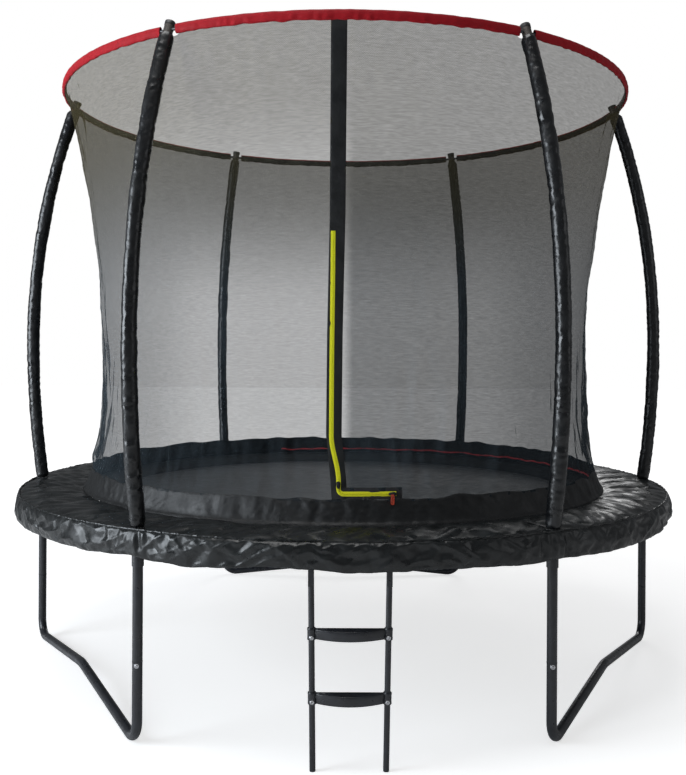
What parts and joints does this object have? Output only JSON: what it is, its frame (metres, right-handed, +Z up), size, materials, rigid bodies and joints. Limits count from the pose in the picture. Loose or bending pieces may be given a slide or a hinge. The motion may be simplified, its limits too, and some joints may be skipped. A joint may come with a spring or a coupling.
{
  "type": "backyard trampoline",
  "caption": "Round backyard trampoline with curved padded enclosure poles, a waisted safety net, spring pad, U legs and a hook-on ladder.",
  "frame": {"origin": "on the ground, under the middle of the jumping mat", "axes": "+Z up; -Y is the front, with the ladder and the zip; +X to the right seen from the front, through one of the six posts"},
  "size_m": [3.171, 3.094, 2.6824],
  "materials": {
    "zinc_steel": "galvanised tube, dull spangle",
    "black_steel": "black powder coat with a soft shine",
    "grey_steel": "grey painted tube",
    "sleeve_pvc": "crinkled black PVC over foam, glossy",
    "black_plastic": "moulded, fine grain",
    "rod_black": "glass-fibre rod, matt",
    "red_fabric": "woven red webbing",
    "mat_fabric": "tight woven polypropylene",
    "net_mesh": "fine open net",
    "band_fabric": "opaque woven band",
    "zip_yellow": "zip tape with moulded teeth",
    "red_plastic": "moulded pull tab",
    "pad_pvc": "glossy crinkled PVC sheet over foam"
  },
  "bodies": {
    "frame": {"frame_joint_1": "black_steel", "frame_joint_2": "black_steel", "frame_joint_3": "black_steel", "frame_joint_4": "black_steel", "frame_joint_5": "black_steel", "frame_joint_6": "black_steel", "frame_rail_1": "zinc_steel", "frame_rail_2": "zinc_steel", "frame_rail_3": "zinc_steel", "frame_rail_4": "zinc_steel", "frame_rail_5": "zinc_steel", "frame_rail_6": "zinc_steel", "leg_base_back": "black_steel", "leg_base_left": "black_steel", "leg_base_right": "black_steel", "leg_upper_1": "black_steel", "leg_upper_2": "black_steel", "leg_upper_3": "black_steel", "leg_upper_4": "black_steel", "leg_upper_5": "black_steel", "leg_upper_6": "black_steel", "net_base_band": "band_fabric", "net_rod": "rod_black", "pad_skirt": "pad_pvc", "pole_cap_1": "black_plastic", "pole_cap_2": "black_plastic", "pole_cap_3": "black_plastic", "pole_cap_4": "black_plastic", "pole_cap_5": "black_plastic", "pole_cap_6": "black_plastic", "pole_sleeve_1": "sleeve_pvc", "pole_sleeve_2": "sleeve_pvc", "pole_sleeve_3": "sleeve_pvc", "pole_sleeve_4": "sleeve_pvc", "pole_sleeve_5": "sleeve_pvc", "pole_sleeve_6": "sleeve_pvc", "pole_tube_1": "grey_steel", "pole_tube_2": "grey_steel", "pole_tube_3": "grey_steel", "pole_tube_4": "grey_steel", "pole_tube_5": "grey_steel", "pole_tube_6": "grey_steel", "rod_sleeve_1": "red_fabric", "rod_sleeve_2": "red_fabric", "rod_sleeve_3": "red_fabric", "rod_sleeve_4": "red_fabric", "rod_sleeve_5": "red_fabric", "rod_sleeve_6": "red_fabric", "safety_net": "net_mesh", "safety_pad": "pad_pvc", "spring_set": "zinc_steel", "zip_tape": "zip_yellow"},
    "mat": {"jump_mat": "mat_fabric"},
    "zip_slider_side": {"zip_slider_side": "black_plastic"},
    "zip_slider_base": {"zip_slider_base": "black_plastic"},
    "zip_pull": {"zip_pull": "red_plastic"},
    "ladder": {"ladder_rail_left": "black_steel", "ladder_rail_right": "black_steel", "ladder_step_lower": "black_steel", "ladder_step_upper": "black_steel"}
  },
  "joints": [
    {"name": "mat_bounce", "type": "slide", "parent": "frame", "child": "mat", "axis": [0, 0, 1], "range_m": [-0.25, 0], "stiffness_N_per_m": 3000, "springref_m": 0.03, "deforming": ["spring_set"]},
    {"name": "zip_side_slide", "type": "slide", "parent": "frame", "child": "zip_slider_side", "axis": [-0.0264, -0.0022, 0.9996], "range_m": [0, 0.935]},
    {"name": "zip_base_slide", "type": "slide", "parent": "frame", "child": "zip_slider_base", "axis": [-0.9962, -0.087, 0], "range_m": [0, 0.173]},
    {"name": "zip_pull_hinge", "type": "hinge", "parent": "zip_slider_base", "child": "zip_pull", "pos_m": [0.17599, -1.21638, 0.904], "axis": [0.9962, 0.0872, 0], "range_deg": [-160, 0]},
    {"name": "ladder_swing", "type": "hinge", "parent": "frame", "child": "ladder", "pos_m": [0.015, -1.49851, 0.74], "axis": [1, 0, 0], "range_deg": [-12, 20]}
  ]
}
